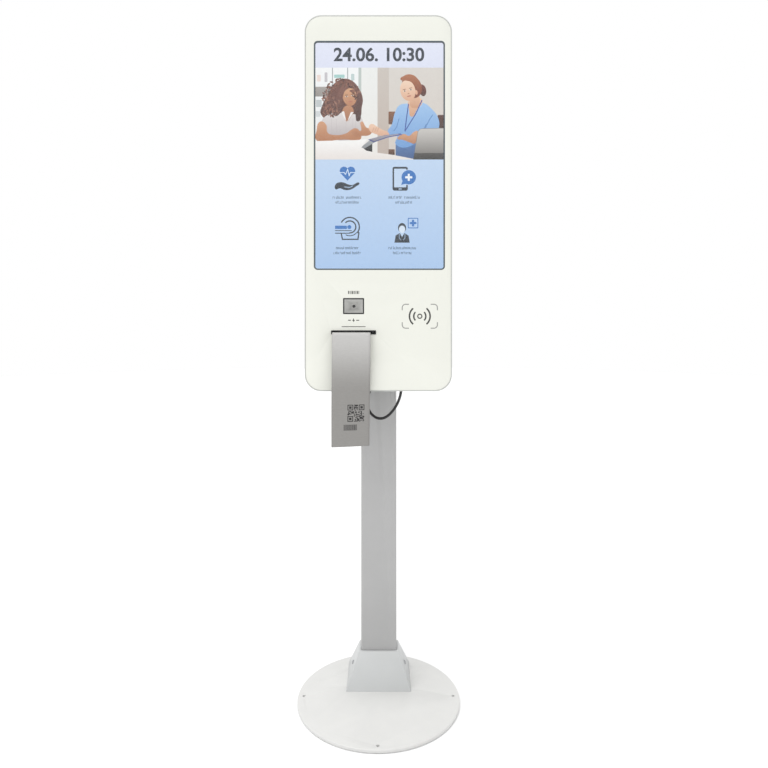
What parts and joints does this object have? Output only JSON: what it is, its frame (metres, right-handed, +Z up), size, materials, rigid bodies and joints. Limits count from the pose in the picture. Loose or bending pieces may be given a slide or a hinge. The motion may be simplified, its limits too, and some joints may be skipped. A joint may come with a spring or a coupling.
{
  "type": "touchscreen kiosk",
  "caption": "Free-standing touchscreen kiosk: tall white glass head with portrait display, code scanner, receipt printer and card reader on a square post with a round base.",
  "frame": {"origin": "centre of the round base, on the floor", "axes": "+Z up; the screen faces -Y; +X to the right of a person who faces the screen"},
  "size_m": [0.35, 0.35, 1.462],
  "materials": {
    "stand_paint": "satin powder coat",
    "housing_paint": "fine textured powder coat",
    "frame_paint": "satin powder coat",
    "white_glass": "glossy, painted white on the back with a clear window",
    "display_face": "display module with a lit screen",
    "black_plastic": "fine spark-eroded texture",
    "grey_plastic": "moulded, matt",
    "green_plastic": "moulded, satin",
    "white_nylon": "machined nylon",
    "black_rubber": "matt rubber",
    "platen_rubber": "ground rubber",
    "cable_sheath": "smooth satin sheath",
    "bare_steel": "zinc-plated sheet",
    "blade_steel": "ground",
    "zinc_screws": "zinc plated",
    "chromed_lock": "polished",
    "bare_aluminium": "extruded",
    "brass_gear": "machined",
    "funnel_satin": "metallised satin plastic",
    "lens_glass": "dark polished lens",
    "circuit_board": "solder mask",
    "till_paper": "thin thermal paper"
  },
  "bodies": {
    "stand": {"floor_mat": "black_rubber", "base_plate": "stand_paint", "foot_flange": "bare_steel", "flange_bolts": "zinc_screws", "post": "stand_paint", "post_cap": "black_plastic", "foot_cover": "stand_paint", "cover_clips": "bare_steel", "cover_screws": "zinc_screws", "mains_inlet": "black_plastic", "post_lead": "black_rubber", "cable_grommet": "black_rubber", "cable_loop": "cable_sheath", "cable_gland": "black_plastic", "mount_bracket": "stand_paint", "bracket_bolts": "zinc_screws", "head_screws": "zinc_screws", "rear_housing": "housing_paint", "door_seal": "black_rubber", "hinge_leaves_fixed": "bare_steel", "mainboard": "circuit_board", "heat_sink": "bare_aluminium", "power_supply": "grey_plastic", "speakers": "black_plastic", "network_socket": "bare_steel", "switch_bezel": "black_plastic", "lock_barrel": "chromed_lock", "lock_nut": "zinc_screws"},
    "door": {"door_frame": "frame_paint", "front_glass": "white_glass", "glass_tape": "black_rubber", "display_gasket": "black_rubber", "display_panel": "display_face", "display_board": "circuit_board", "module_plate": "bare_steel", "door_screws": "zinc_screws", "scanner_funnel": "funnel_satin", "scanner_lens": "lens_glass", "scanner_module": "black_plastic", "scanner_bracket": "bare_steel", "slot_bezel": "black_plastic", "reader_board": "circuit_board", "hinge_leaves_door": "bare_steel", "hinge_pins": "zinc_screws", "door_catch": "bare_steel", "printer_frame": "bare_steel", "thermal_head": "bare_aluminium", "cutter_housing": "grey_plastic", "feed_motor": "black_plastic", "paper_web": "till_paper", "receipt": "till_paper"},
    "rocker": {"switch_rocker": "black_plastic"},
    "lock": {"lock_plug": "chromed_lock", "lock_cam": "bare_steel"},
    "blade": {"cutter_blade": "blade_steel"},
    "pinion": {"motor_pinion": "brass_gear"},
    "idler": {"idler_gear": "white_nylon"},
    "platen": {"platen_roller": "platen_rubber"},
    "lever": {"head_lever": "green_plastic"},
    "roll": {"paper_roll": "till_paper"}
  },
  "joints": [
    {"name": "door_hinge", "type": "hinge", "parent": "stand", "child": "door", "pos_m": [-0.151, -0.0335, 1.069], "axis": [0, 0, -1], "range_deg": [0, 105]},
    {"name": "lock_turn", "type": "hinge", "parent": "stand", "child": "lock", "pos_m": [0.114, -0.005, 0.87], "axis": [-1, 0, 0], "range_deg": [0, 90]},
    {"name": "rocker_tilt", "type": "hinge", "parent": "stand", "child": "rocker", "pos_m": [0.106, 0, 0.691], "axis": [1, 0, 0], "range_deg": [0, 16]},
    {"name": "blade_slide", "type": "slide", "parent": "door", "child": "blade", "axis": [0, 0, -1], "range_m": [0, 0.004]},
    {"name": "lever_turn", "type": "hinge", "parent": "door", "child": "lever", "pos_m": [-0.0095, -0.008, 0.811], "axis": [-1, 0, 0], "range_deg": [0, 60]},
    {"name": "roll_spin", "type": "hinge", "parent": "door", "child": "roll", "pos_m": [-0.056, -0.0025, 0.7265], "axis": [1, 0, 0], "continuous": true},
    {"name": "platen_spin", "type": "hinge", "parent": "door", "child": "platen", "pos_m": [-0.056, -0.02, 0.79178], "axis": [1, 0, 0], "continuous": true},
    {"name": "idler_spin", "type": "hinge", "parent": "door", "child": "idler", "pos_m": [-0.104, -0.00423, 0.77643], "axis": [1, 0, 0], "continuous": true},
    {"name": "pinion_spin", "type": "hinge", "parent": "door", "child": "pinion", "pos_m": [-0.104, -0.019, 0.77028], "axis": [1, 0, 0], "continuous": true}
  ],
  "couplings": [
    {"joint": "platen_spin", "follows": "roll_spin", "ratio": 3.5714},
    {"joint": "idler_spin", "follows": "roll_spin", "ratio": -4.2857},
    {"joint": "pinion_spin", "follows": "roll_spin", "ratio": 7.1429}
  ]
}
